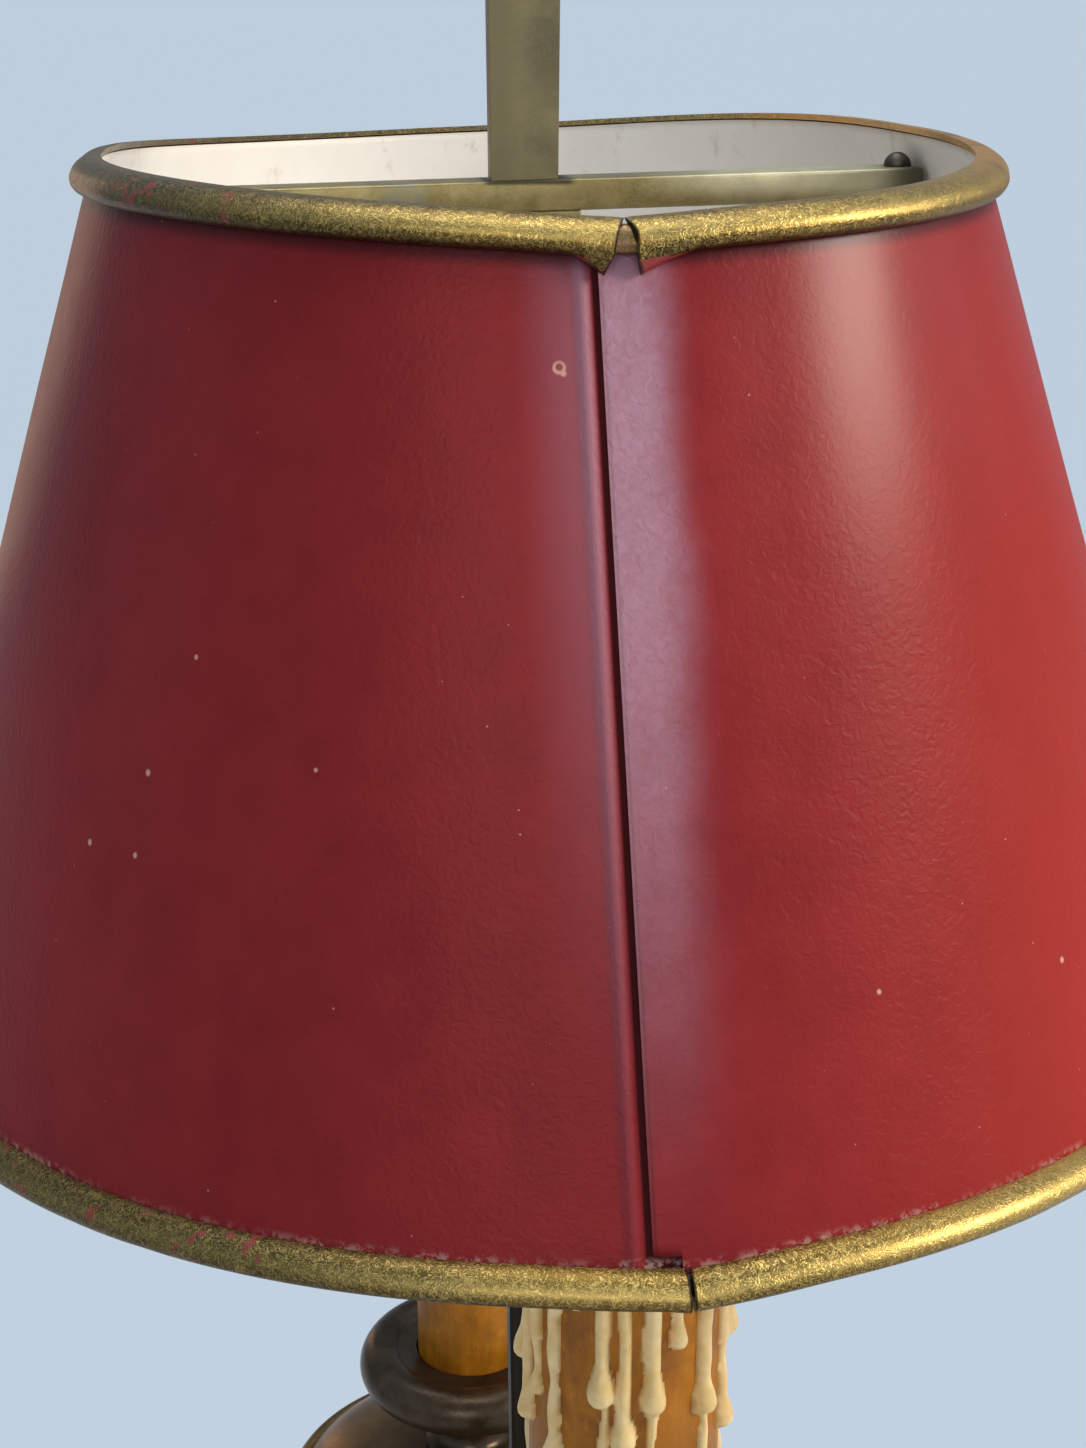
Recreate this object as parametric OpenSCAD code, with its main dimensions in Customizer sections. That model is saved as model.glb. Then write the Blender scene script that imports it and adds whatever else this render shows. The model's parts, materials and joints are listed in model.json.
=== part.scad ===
// Two-light candle lamp: weighted dish base, turned column, two curved arms with drip pans and
// candle sleeves, and one oval sheet-metal shade that slides on a flat tapered rod.
// Origin at the middle of the base's underside, +Z up, arms and the shade's long axis along Y.

/* [Base] */
// Radius of the dish at its rim
base_r = 80; // [70:1:95]
// Height of the plinth wall under the dish
plinth_h = 15; // [12:0.5:20]
// Height of the dish's rim above the plinth
dish_h = 11; // [6:0.5:16]
// Sheet thickness of the base
base_wall = 1.6; // [1.2:0.1:2.5]
// Thickness of the felt pad
felt_t = 2; // [1.5:0.1:3]
// Thickness of the cast weight
weight_t = 8; // [6:0.5:9]
// Inner radius of the cord inlet bush
inlet_r = 3.2; // [2.5:0.1:4]
// Length of the cord inlet bush
inlet_l = 9; // [7:0.5:12]

/* [Column] */
// Outer radius of the tie tube that clamps base and column
tie_r = 5; // [4:0.25:6]
// Inner radius of the tie tube
tie_bore_r = 3.6; // [2.5:0.1:4]
// Largest radius of the column's foot
foot_r = 27; // [22:1:34]
// Height of the column's foot
foot_h = 20; // [14:1:28]
// Largest radius of the stem
stem_r = 13; // [10:0.5:16]
// Height of the stem
stem_h = 85; // [60:1:100]
// Radius of the knop
knop_r = 15; // [12:0.5:18]
// Height of the knop
knop_h = 17; // [13:1:22]
// Radius of the arm hub
hub_r = 15; // [13:0.5:18]
// Height of the arm hub
hub_h = 24; // [20:1:30]
// Height of the cap that grips the rod
cap_h = 40; // [30:1:50]
// Radius of the cross pin through cap and rod
pin_r = 1.5; // [1:0.1:1.8]

/* [Rod] */
// Width of the rod at its foot
rod_w_low = 5.2; // [4.5:0.1:7]
// Width of the rod where the crossbar rests
rod_w_bar = 11.4; // [9:0.1:12]
// Thickness of the rod
rod_t = 5; // [4:0.1:6]
// Length of the rod above the crossbar's rest
rod_over = 74; // [60:1:90]
// Radius of the finial's ball
finial_r = 10; // [8:0.5:13]

/* [Arms and candles] */
// Distance from the lamp's axis to each candle
arm_reach = 109; // [100:1:118]
// Outer radius of an arm tube
arm_r = 5; // [4.5:0.1:6]
// Inner radius of an arm tube
arm_bore_r = 3.2; // [2.5:0.1:3.6]
// Bend radius of the arm's outer curve
arm_bend = 30; // [25:1:34]
// Turn of each of the arm's two curves
arm_turn = 50; // [40:1:60]
// Radius of a drip pan
pan_r = 49; // [40:1:54]
// Sheet thickness of pans and cups
pan_wall = 1.5; // [1.2:0.1:2]
// Height from the pan's middle to the candle cup's rim
cup_h = 32; // [31:1:42]
// Outer radius of the candle cup's rolled rim
cup_r = 29; // [25:0.5:32]
// Radius of the cup's rolled rim in section
cup_roll = 6; // [4:0.25:7]
// Outer radius of a candle sleeve
sleeve_r = 14; // [13:0.25:16]
// Wall of a candle sleeve
sleeve_wall = 1.8; // [1.2:0.1:2.2]
// Height of a candle sleeve above the cup's rim
sleeve_h = 186; // [170:1:200]
// Depth of a sleeve's foot inside the cup
sleeve_seat = 14; // [8:1:20]
// Largest radius of a candle bulb
bulb_r = 14.5; // [13:0.5:15.5]
// Height of a bulb's glass
bulb_h = 64; // [56:1:72]
// Radius of a bulb's screw cap
bulb_cap_r = 6.9; // [6.5:0.1:7.2]
// Radius of a lampholder body
holder_r = 10.6; // [10:0.1:11.4]
// Height of a lampholder body
holder_h = 34; // [28:1:44]
// Radius of an inner wire
wire_r = 1.2; // [0.8:0.1:1.5]

/* [Wax drips] */
// Longest wax run, measured from the sleeve's top
drip_long = 130; // [100:1:165]

/* [Shade] */
// Half width of the shade's top, across the arms
top_x = 69.3; // [64:0.1:80]
// Half length of the shade's top, along the arms
top_y = 106; // [98:0.5:116]
// Half width of the shade's bottom, across the arms
low_x = 115.6; // [104:0.1:124]
// Half length of the shade's bottom, along the arms
low_y = 149.5; // [141:0.5:160]
// Height of the shade, rim to rim
shade_h = 133; // [118:1:150]
// Squareness of the top oval, where 2 is an ellipse
top_power = 2.5; // [2:0.05:3]
// Squareness of the bottom oval, where 2 is an ellipse
low_power = 2; // [2:0.05:2.6]
// Lift of the top rim at the sides and its drop at the ends
top_wave = 1.3; // [0:0.1:3]
// Twist of the top rim between neighbouring quarters
top_twist = 0.9; // [0:0.1:2]
// Drop of the bottom rim at the sides and its lift at the ends
low_wave = 4.8; // [0:0.1:6]
// Drop of both rims at the seam
seam_drop = 2; // [0:0.1:3]
// Lean of the shade on its rod, in degrees
shade_lean = 1.3; // [0:0.1:2]
// How far the shade's middle stands from the rod, across the crossbar's slot
shade_off = -1.5; // [-3:0.1:3]
// Thickness of the shade's sheet
sheet = 0.7; // [0.6:0.05:1]
// Width of the seam's overlap
seam_lap = 8.6; // [5:0.1:12]
// Distance from the long axis to the seam's edge
seam_x = 3.5; // [1:0.1:6]
// How far the seam leans from the top to the bottom, in degrees round the shade
seam_skew = 1.1; // [0:0.1:3]
// Height of a bead
bead_h = 4.8; // [4:0.1:6]
// How far a bead stands proud of the sheet
bead_d = 2.8; // [2:0.1:3.5]
// Gap between the ends of the top bead
top_gap = 3.6; // [1:0.1:5]
// Gap between the ends of the bottom bead
low_gap = 1; // [0.6:0.1:2]
// Depth of the crossbar, along the arms
bar_d = 12; // [10:0.5:14]
// Height of the crossbar
bar_h = 5.2; // [4:0.1:7]
// Drop of the crossbar's top face under the shade's top rim
bar_drop = 5.4; // [3:0.1:9]
// Clearance between the rod and the crossbar's slot, each side
slot_gap = 0.75; // [0.5:0.05:1.2]
// Height of the collar under the crossbar
collar_h = 15; // [12:0.5:20]
// Wall of the collar
collar_wall = 2.6; // [2.2:0.1:4]
// Radius of the thumb screw's shank
screw_r = 2; // [1.5:0.1:2.5]
// Length of the thumb screw's shank outside the collar
screw_out = 9; // [7:0.5:14]
// Width of the thumb screw's wings
wing_w = 17; // [12:0.5:22]

/* [Hidden] */
// Facets of round pieces, which come out as true arcs
$fn = 64;
// Small overlap that joins two shapes of one piece
weld = 0.05;
// Clearance between two pieces of different bodies
running = 0.3;
// Clearance of a screwed or slipped-on piece round its core
slip = 0.1;

// Heights of the column, from the floor up
plinth_top = felt_t + plinth_h;
column_z = plinth_top + base_wall;
stem_z = column_z + foot_h;
knop_z = stem_z + stem_h;
hub_z = knop_z + knop_h;
cap_z = hub_z + hub_h;
// Arm curves: the outer bend rises to the pan, the inner one leaves the hub level
arm_z = hub_z + hub_h / 2;
arm_start = hub_r + 3;
arm_inner = (arm_reach - arm_bend - arm_start) / sin(arm_turn) - arm_bend;
bend_z = arm_z - arm_inner * (1 - cos(arm_turn)) + arm_bend * cos(arm_turn);
pan_z = bend_z + 10;
cup_rim_z = pan_z + cup_h;
sleeve_z = cup_rim_z - sleeve_seat;
sleeve_top = cup_rim_z + sleeve_h;
holder_z = sleeve_top - holder_h - 2;
bulb_z = sleeve_top - 1;
// Shade heights: the top rim stands over the sleeves by a fixed reach
shade_over_sleeve = 14;
low_rim_z = sleeve_top - shade_over_sleeve;
top_rim_z = low_rim_z + shade_h;
bar_top_z = top_rim_z - bar_drop;
rod_z = cap_z + 4;
rod_top_z = bar_top_z + rod_over;
rod_taper = (rod_w_bar - rod_w_low) / (bar_top_z - rod_z);
rod_w_top = rod_w_low + rod_taper * (rod_top_z - rod_z);
slot_x = rod_w_bar + 2 * slot_gap;
slot_y = rod_t + 2 * slot_gap;
// Radius of an arm's spigot in the hub, and the play left at the knot between its curves, in degrees
spigot_r = arm_r - 0.6;
knot_play = 0.6;
// Flat middle of a drip pan and the dome's fall to its rim
pan_flat = 14;
pan_fall = 13;
// Height of the cord inlet and the wall of its bush
inlet_z = felt_t + plinth_h * 0.52;
inlet_wall = 1.4;
// Width of the rod where it leaves the cap
rod_w_cap = rod_w_low + rod_taper * cap_h;
// The nipple that ties arm, pan, cup and lampholder: radius, bore and top end
nipple_r = 4.8;
nipple_bore = 3.2;
nipple_top = holder_z + 4;
// Foot of the nipple in the arm's socket
nipple_z = pan_z - 6;
// Foot of the tie tube under the base nut, and the height of the cross pin in the cap
tie_z = plinth_top - weight_t - 6;
pin_z = cap_z + cap_h * 0.7;
// Wax skirt at the sleeve's top, its thickness, and the hairline round each run
wax_skirt = 9;
wax_t = 1.1;
wax_gap = 0.15;
// Wax runs round the near sleeve, as [length from the sleeve's top, radius of the bead at its end]
DRIPS = [
    [62, 2], [84, 2], [58, 2.1], [drip_long - 20, 2], [70, 2], [96, 1.9],
    [60, 1.8], [66, 2.1], [drip_long, 2], [drip_long - 14, 2.1], [50, 2], [drip_long - 30, 1.9]
];
// Radius of a wax run
drip_r = 1.4;
// Foot of the bulb's tip, above the lampholder's floor
bulb_tip_z = holder_z + 12;
// Sheet edge inside a bead, gap between bead and sheet, and the lip over the sheet's edge
edge_in = 1.1;
bead_gap = 0.2;
bead_lip = 0.5;
// Gap between the seam's two layers, and the notch at the foot of the outer one
lap_gap = 0.1;
notch_share = 0.5;
notch_h = 1.3;
// Where the beads are split, beside the oval's long axis
top_split_x = 0.6;
low_split_x = -0.8;
// Half length of the crossbar, up to the sheet's inner face
flare_x = low_x - top_x;
bar_half = top_x + flare_x * bar_drop / shade_h - sheet - 0.3;
// Solder lug under each end of the crossbar
lug_t = 2;
lug_drop = 6;
// Collar outside sizes, the boss for the screw and the screw's clearance
collar_x = slot_x + 2 * collar_wall;
collar_y = slot_y + 2 * collar_wall;
boss_l = 4;
screw_fit = 0.09;
// Stations round the shade
STATIONS = 120;
// The two ends of the long axis, near and far
ENDS = [-1, 1];

function sgn_pow(v, p) = sign(v) * pow(abs(v), p);
// One point of an oval with half sizes a and b
function oval(a, b, power, t) = [a * sgn_pow(cos(t), 2 / power), b * sgn_pow(sin(t), 2 / power)];
// Angle past the long axis's near end at which a rim with half breadth a stands x to the right
function turn_at(x, a, power) = asin(sgn_pow(x / a, power / 2));
// How close an angle is to the seam, from 1 at the seam to 0 far from it
function near_seam(t) = exp(-abs(t - 270) / 14);
function top_z(t) = top_wave * cos(2 * t) + top_twist * sin(2 * t) - seam_drop * near_seam(t);
function low_z(t) = -low_wave * cos(2 * t) - seam_drop * near_seam(t);
// A point of the shade, where f goes from 0 at the top rim to 1 at the bottom, grown outwards by out
function shade_point(t, f, out) = let(
    a = oval(top_x + out, top_y + out, top_power, t),
    b = oval(low_x + out, low_y + out, low_power, t)
) [
    a.x + (b.x - a.x) * f + shade_off,
    a.y + (b.y - a.y) * f,
    top_z(t) + (low_z(t) - shade_h - top_z(t)) * f
];

// Triangles of a closed tube of stations, where each station is a ring of side points
function tube_faces(stations, side) = concat(
    [for (i = [0:stations - 2]) for (j = [0:side - 1]) let(k = (j + 1) % side)
        each [
            [i * side + j, (i + 1) * side + k, i * side + k],
            [i * side + j, (i + 1) * side + j, (i + 1) * side + k]
        ]],
    [for (j = [0:side - 3]) [side - 1, j, j + 1]],
    [for (j = [0:side - 3]) let(e = (stations - 1) * side) [e + side - 1, e + j + 1, e + j]]
);

// Places a piece of the shade at its height and lean
module on_shade() {
    translate([0, 0, bar_top_z]) rotate([0, -shade_lean, 0]) translate([0, 0, bar_drop]) children();
}

// Repeats a piece at one candle, near end first
module at_candle(side) {
    translate([0, side * arm_reach, 0]) children();
}

// One pass of corner cutting, which keeps the ends of the outline
function cut_corners(p) = concat([p[0]], [for (i = [0:len(p) - 2])
    each [p[i] * 0.75 + p[i + 1] * 0.25, p[i] * 0.25 + p[i + 1] * 0.75]], [p[len(p) - 1]]);
function soft(p) = cut_corners(cut_corners(p));

// A turned piece from its outline, given as [share of r, share of h] from the foot up, with a bore
module turned(outline, r, h, bore) {
    rotate_extrude() polygon(concat(
        [[bore, 0]], soft([for (p = outline) [p.x * r, p.y * h]]), [[bore, h]]
    ));
}

module ring(r_out, r_in, h) {
    difference() {
        cylinder(r = r_out, h = h);
        translate([0, 0, -1]) cylinder(r = r_in, h = h + 2);
    }
}

module base_dish() {
    rim_z = column_z + dish_h;
    inside = soft([
        [base_r - 18, column_z], [base_r - 12, column_z], [base_r - 6, column_z + dish_h * 0.25],
        [base_r - 3, column_z + dish_h * 0.7], [base_r - 2.4, rim_z - 0.6], [base_r - 1.2, rim_z],
        [base_r, rim_z - 1.2]
    ]);
    outside = soft([
        [base_r, rim_z - 1.2], [base_r - 1.4, rim_z - 2.4], [base_r - 2.2, column_z + dish_h * 0.35],
        [base_r - 7, plinth_top + 1], [base_r - 8, plinth_top - 2]
    ]);
    foot = [
        [base_r - 4, felt_t + 2], [base_r - 1.6, felt_t + 1.6], [base_r - 1, felt_t + 0.8],
        [base_r - 1.6, felt_t], [base_r - 6, felt_t], [base_r - 6 - base_wall, felt_t + 3],
        [base_r - 8 - base_wall, plinth_top - 2], [base_r - 10 - base_wall, plinth_top]
    ];
    color("#7a6238") difference() {
        rotate_extrude($fn = 96) polygon(concat(
            [[tie_r + slip, plinth_top], [tie_r + slip, column_z]], inside, outside, foot
        ));
        translate([base_r - 20, 0, inlet_z]) rotate([0, 90, 0])
            cylinder(r = inlet_r + inlet_wall + slip, h = 25);
    }
}

module base_weight() {
    color("#2e2e2c") difference() {
        translate([0, 0, plinth_top - weight_t]) ring(base_r - 14 - base_wall, tie_r + slip, weight_t);
        translate([0, -6, plinth_top - weight_t - 1]) cube([base_r, 12, weight_t * 0.75]);
    }
}

module base_felt() {
    color("#2f4a36") cylinder(r = base_r - 3, h = felt_t);
}

module base_washer() {
    color("#8a7a4c") translate([0, 0, plinth_top - weight_t - 1.5]) difference() {
        ring(13, tie_r + slip, 1.5);
        translate([tie_r + 1, -6, -1]) cube([20, 12, 4]);
    }
}

module base_nut() {
    color("#a08a52") translate([0, 0, plinth_top - weight_t - 4.5]) difference() {
        cylinder(r = 8.5, h = 3, $fn = 6);
        translate([0, 0, -1]) cylinder(r = tie_r, h = 5);
    }
}

module cord_bush() {
    color("#3a3028") translate([base_r - 4 - inlet_l + 2, 0, inlet_z]) rotate([0, 90, 0]) difference() {
        union() {
            cylinder(r = inlet_r + inlet_wall, h = inlet_l);
            translate([0, 0, inlet_l - 2]) cylinder(r = inlet_r + inlet_wall + 0.7, h = 2);
        }
        translate([0, 0, -1]) cylinder(r = inlet_r, h = inlet_l + 2);
    }
}

module tie_tube() {
    color("#b59a58") {
        translate([0, 0, tie_z]) ring(tie_r, tie_bore_r, hub_z + 5 - tie_z);
    }
}

module column_foot() {
    color("#6b5530") translate([0, 0, column_z]) turned([
        [1, 0], [1, 0], [1, 0.1], [0.98, 0.2], [0.86, 0.22], [0.85, 0.3], [0.82, 0.36], [0.6, 0.44],
        [0.46, 0.6], [0.4, 0.82], [0.46, 0.88], [0.46, 1], [0.46, 1]
    ], foot_r, foot_h, tie_r + slip);
}

module column_stem() {
    color("#6b5530") translate([0, 0, stem_z]) turned([
        [0.92, 0], [0.92, 0], [1, 0.03], [0.92, 0.06], [0.66, 0.07], [0.6, 0.14], [0.7, 0.32], [0.97, 0.56],
        [1.03, 0.7], [0.96, 0.83], [0.66, 0.92], [0.66, 0.93], [0.86, 0.94], [0.92, 0.97], [0.84, 1], [0.84, 1]
    ], stem_r, stem_h, tie_r + slip);
}

module column_knop() {
    color("#6b5530") translate([0, 0, knop_z]) turned([
        [0.8, 0], [0.8, 0], [0.8, 0.12], [0.62, 0.14], [0.98, 0.22], [1.1, 0.5], [0.98, 0.78], [0.62, 0.86],
        [0.85, 0.88], [0.85, 1], [0.85, 1]
    ], knop_r, knop_h, tie_r + slip);
}

module arm_hub() {
    color("#6b5530") difference() {
        union() {
            translate([0, 0, hub_z]) cylinder(r = hub_r, h = hub_h);
            for (side = ENDS) arm_level(side, arm_r + 2.2, hub_r - 3, arm_start);
        }
        translate([0, 0, hub_z - 1]) cylinder(r = tie_r + slip, h = 7);
        translate([0, 0, hub_z + 5]) cylinder(r = hub_r - 5, h = hub_h - 9);
        for (side = ENDS) arm_level(side, spigot_r, hub_r - 8, arm_start + 1);
    }
}

module rod_cap() {
    color("#6b5530") translate([0, 0, cap_z]) difference() {
        turned([
            [0.95, 0], [0.95, 0], [0.97, 0.08], [0.62, 0.12], [0.46, 0.3], [0.5, 0.5], [0.66, 0.66],
            [0.66, 0.82], [0.46, 0.9], [0.56, 0.92], [0.56, 1], [0.5, 1]
        ], hub_r, cap_h, 0);
        translate([0, 0, cap_h / 2 + 4]) cube([rod_w_cap + 2 * slip, rod_t + 2 * slip, cap_h], center = true);
        translate([0, 0, pin_z - cap_z]) rotate([90, 0, 0]) cylinder(r = pin_r, h = 2 * hub_r, center = true);
    }
}

module rod_pin() {
    color("#8c7a4a") translate([0, 0, pin_z]) rotate([90, 0, 0])
        cylinder(r = pin_r, h = hub_r * 1.3, center = true);
}

module shade_rod() {
    color("#71694f") difference() {
        translate([0, rod_t / 2, 0]) rotate([90, 0, 0]) linear_extrude(rod_t) polygon([
            [-rod_w_low / 2, rod_z], [rod_w_low / 2, rod_z],
            [rod_w_top / 2, rod_top_z], [-rod_w_top / 2, rod_top_z]
        ]);
        translate([0, 0, pin_z]) rotate([90, 0, 0]) cylinder(r = pin_r, h = rod_t + 2, center = true);
    }
}

module rod_finial() {
    color("#7a6238") translate([0, 0, rod_top_z]) rotate_extrude() polygon(concat(
        [[0, 0], [rod_w_top / 2 + 2, 0], [rod_w_top / 2 + 2, 2.5], [rod_w_top / 2 - 2, 5], [4.2, 8]],
        [for (a = [-60:15:75]) [finial_r * cos(a), 8 + finial_r * sin(60) + finial_r * sin(a)]],
        [[1.2, 8 + 2 * finial_r + 1], [0, 8 + 2 * finial_r + 3]]
    ));
}

// Puts a piece in the plane of an arm's curve, drawn with the plane's X outwards and Y up
module arm_plane(side) {
    rotate([90, 0, side * 90]) children();
}

// A tube's core along the arm's two curves, each ending just short of the knot between them
module arm_curves(side, r) {
    arm_plane(side) {
        translate([arm_start, arm_z - arm_inner]) rotate([0, 0, 90 - arm_turn + knot_play])
            rotate_extrude(angle = arm_turn - knot_play) translate([arm_inner, 0]) circle(r = r);
        translate([arm_reach - arm_bend, bend_z]) rotate([0, 0, -90 - arm_turn + knot_play])
            rotate_extrude(angle = 90 + arm_turn - knot_play) translate([arm_bend, 0]) circle(r = r);
    }
}

// A short round piece across the joint of the two curves
module arm_knot(side, r, length) {
    arm_plane(side) translate([arm_reach - arm_bend, bend_z]) rotate([0, 0, -90 - arm_turn])
        translate([arm_bend, 0, 0]) rotate([90, 0, 0]) cylinder(r = r, h = length, center = true);
}

// A piece on the hub's level line, from one distance to another
module arm_level(side, r, from, to) {
    translate([0, side * from, arm_z]) rotate([-90 * side, 0, 0]) cylinder(r = r, h = to - from);
}

module arm(side) {
    color("#7a6238") difference() {
        union() {
            arm_curves(side, arm_r);
            arm_knot(side, arm_r + 1.8, 6);
            arm_level(side, arm_r + 1.4, arm_start, arm_start + 4);
            arm_level(side, spigot_r, hub_r - 4, arm_start + 1);
            at_candle(side) translate([0, 0, bend_z - 2]) cylinder(r = arm_r + 2, h = pan_z - bend_z + 2);
        }
        arm_curves(side, arm_bore_r);
        arm_knot(side, arm_bore_r + 0.4, 2);
        arm_level(side, arm_bore_r - 0.4, hub_r - 5, arm_start + 2);
        at_candle(side) translate([0, 0, bend_z - 1]) cylinder(r = arm_bore_r + 0.3, h = 6);
        at_candle(side) translate([0, 0, nipple_z]) cylinder(r = nipple_r, h = pan_z - nipple_z + 1);
    }
}
module arm_near() { arm(-1); }
module arm_far() { arm(1); }

// Domed drip pan: high in the middle, falling to a rolled rim
module drip_pan(side) {
    color("#76573a") at_candle(side) translate([0, 0, pan_z]) rotate_extrude($fn = 96) union() {
        polygon(concat(
            [[nipple_r + slip, 0], [nipple_r + slip, pan_wall]],
            [for (k = [0:8]) pan_point(k, pan_wall)],
            [for (k = [8:-1:0]) pan_point(k, 0)]
        ));
        translate(pan_point(8, pan_wall / 2) + [1, 0]) circle(r = 2, $fn = 32);
    }
}
// One point of the dome's section, from the flat middle at 0 to the rim at 8, raised by up
function pan_point(k, up) = [
    pan_flat + (pan_r - 3 - pan_flat) * sin(10 * k) / sin(80),
    up - pan_fall * (1 - cos(10 * k)) / (1 - cos(80))
];
module drip_pan_near() { drip_pan(-1); }
module drip_pan_far() { drip_pan(1); }

// Turned cup with a rolled rim, where the sleeve stands in its well
module candle_cup(side) {
    top = cup_h - pan_wall;
    seat = top - sleeve_seat;
    well = sleeve_r + running;
    color("#40362c") at_candle(side) translate([0, 0, pan_z + pan_wall]) rotate_extrude() {
        polygon(concat(
            [[nipple_r + slip, 0]],
            soft([
                [12, 0], [12.4, 1.5], [9, 3], [8.2, 6], [9, 9], [13, seat - 6],
                [sleeve_r + 3.4, seat - 1], [cup_r - cup_roll, top - 9], [cup_r - cup_roll, top - cup_roll]
            ]),
            [[cup_r - cup_roll, top - 1.5], [well, top - 1.5], [well, seat], [nipple_r + slip, seat]]
        ));
        translate([cup_r - cup_roll, top - cup_roll]) intersection() {
            circle(r = cup_roll, $fn = 40);
            translate([well - cup_r + cup_roll, -cup_roll]) square([cup_r - well, 2 * cup_roll]);
        }
    }
}
module candle_cup_near() { candle_cup(-1); }
module candle_cup_far() { candle_cup(1); }

module nipple(side) {
    color("#b59a58") at_candle(side) translate([0, 0, nipple_z])
        ring(nipple_r, nipple_bore, nipple_top - nipple_z);
}
module nipple_near() { nipple(-1); }
module nipple_far() { nipple(1); }

module pan_nut(side) {
    color("#a08a52") at_candle(side) translate([0, 0, sleeve_z]) difference() {
        cylinder(r = 8, h = 4, $fn = 6);
        translate([0, 0, -1]) cylinder(r = nipple_r, h = 6);
    }
}
module pan_nut_near() { pan_nut(-1); }
module pan_nut_far() { pan_nut(1); }

module holder(side) {
    color("#d8d2c0") at_candle(side) translate([0, 0, holder_z]) difference() {
        cylinder(r = holder_r, h = holder_h);
        translate([0, 0, -1]) cylinder(r = nipple_r, h = 6);
        translate([0, 0, 1]) cylinder(r = wire_r + 0.4, h = 8);
        translate([0, 0, 8]) cylinder(r = bulb_cap_r + running, h = holder_h);
    }
}
module holder_near() { holder(-1); }
module holder_far() { holder(1); }

// Spring tongue that meets the bulb's tip
module holder_contact(side) {
    color("#c9a85a") at_candle(side) translate([0, 0, holder_z + 8]) {
        translate([-4.5, -1.5, 0]) cube([9, 3, 0.5]);
        translate([-1.5, -1.5, 0.45]) cube([3, 3, bulb_tip_z - holder_z - 8 - 0.45]);
    }
}
module holder_contact_near() { holder_contact(-1); }
module holder_contact_far() { holder_contact(1); }

module candle_sleeve(side) {
    color("#8a5a14") at_candle(side) translate([0, 0, sleeve_z])
        ring(sleeve_r, sleeve_r - sleeve_wall, sleeve_top - sleeve_z);
}
module candle_sleeve_near() { candle_sleeve(-1); }
module candle_sleeve_far() { candle_sleeve(1); }

// Angle at which wax run k stands, nearly evenly spaced
function drip_turn(k) = 360 * k / len(DRIPS) + 3 * sin(140 * k);

module wax_run(k) {
    bead_r = DRIPS[k][1];
    bead_z = sleeve_top - DRIPS[k][0] + bead_r;
    rotate([0, 0, drip_turn(k)]) translate([sleeve_r + wax_gap + bead_r, 0, bead_z]) {
        sphere(r = bead_r);
        cylinder(r = drip_r, h = DRIPS[k][0] - bead_r - wax_skirt - wax_gap);
    }
}

module wax_drips() {
    color("#dcbd94") at_candle(-1) {
        translate([0, 0, sleeve_top - wax_skirt]) ring(sleeve_r + wax_t, sleeve_r, wax_skirt);
        for (k = [0:len(DRIPS) - 1]) wax_run(k);
    }
}

// Half outline of a candle bulb's glass, from the cap to the pointed tip
function bulb_profile() = concat(
    [[0, 0], [bulb_cap_r, 0]],
    [for (k = [1:11]) let(f = k / 12) [bulb_radius(f), bulb_h * f]],
    [[0, bulb_h]]
);
function bulb_radius(f) = f < 0.42
    ? bulb_cap_r + (bulb_r - bulb_cap_r) * sin(90 * f / 0.42)
    : bulb_r * pow(max(0, cos(90 * (f - 0.42) / 0.58)), 0.8);

module bulb_glass(side) {
    color("#f4ead2") at_candle(side) translate([0, 0, bulb_z])
        rotate_extrude($fn = 48) polygon(bulb_profile());
}
module bulb_glass_near() { bulb_glass(-1); }
module bulb_glass_far() { bulb_glass(1); }

module bulb_cap(side) {
    color("#b8b4a4") at_candle(side) union() {
        translate([0, 0, bulb_tip_z + 2]) cylinder(r = bulb_cap_r, h = bulb_z - bulb_tip_z - 2);
        translate([0, 0, bulb_tip_z]) cylinder(r = 3.2, h = 2 + weld);
    }
}
module bulb_cap_near() { bulb_cap(-1); }
module bulb_cap_far() { bulb_cap(1); }

// Points of one lampholder's wire in its arm's plane, as [outwards, up]
function wire_route() = concat(
    [[2, arm_z], [arm_start - 0.5, arm_z]],
    [for (k = [1:8]) let(a = 90 - arm_turn * k / 8)
        [arm_start + arm_inner * cos(a), arm_z - arm_inner + arm_inner * sin(a)]],
    [for (k = [1:14]) let(a = -90 - arm_turn + (90 + arm_turn) * k / 14)
        [arm_reach - arm_bend + arm_bend * cos(a), bend_z + arm_bend * sin(a)]],
    [[arm_reach, holder_z + 8]]
);

// A wire along points in one arm's plane
module wire_run(side, route) {
    count = len(route);
    rings = [for (i = [0:count - 1]) let(
        d = route[min(i + 1, count - 1)] - route[max(i - 1, 0)],
        n = [d.y, -d.x] / norm(d)
    ) each [for (j = [0:7]) [
        route[i].x + wire_r * cos(45 * j) * n.x, route[i].y + wire_r * cos(45 * j) * n.y, wire_r * sin(45 * j)
    ]]];
    arm_plane(side) polyhedron(points = rings, faces = tube_faces(count, 8));
}

module inner_wires() {
    color("#d8d4c8") for (side = ENDS) wire_run(side, wire_route());
}

// The seam: the sheet's outer edge lies a little beside the long axis and covers the inner layer by the lap
SEAM_TURN = turn_at(seam_x, top_x, top_power);
LAP_TURN = SEAM_TURN + turn_at(seam_lap - seam_x, top_x, top_power);
// Angle from the seam's edge, going round through the right side, at share f of the height
function past_seam(t, f) = (t - 270 + SEAM_TURN + seam_skew * f + 720) % 360;
function sheet_turn(i) = 270 - SEAM_TURN + (360 + LAP_TURN) * i / STATIONS;
// Outward lift of the first stretch, which rides over the sheet's other end
function lift_at(turn) = (sheet + lap_gap) * max(0, min(1, 2 - turn / LAP_TURN));
// Lift that a bead needs to clear both layers, with a ramp on each side
function bead_lift(t, f) = max(lift_at(past_seam(t, f)), lift_at(LAP_TURN + 360 - past_seam(t, f)));
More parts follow.
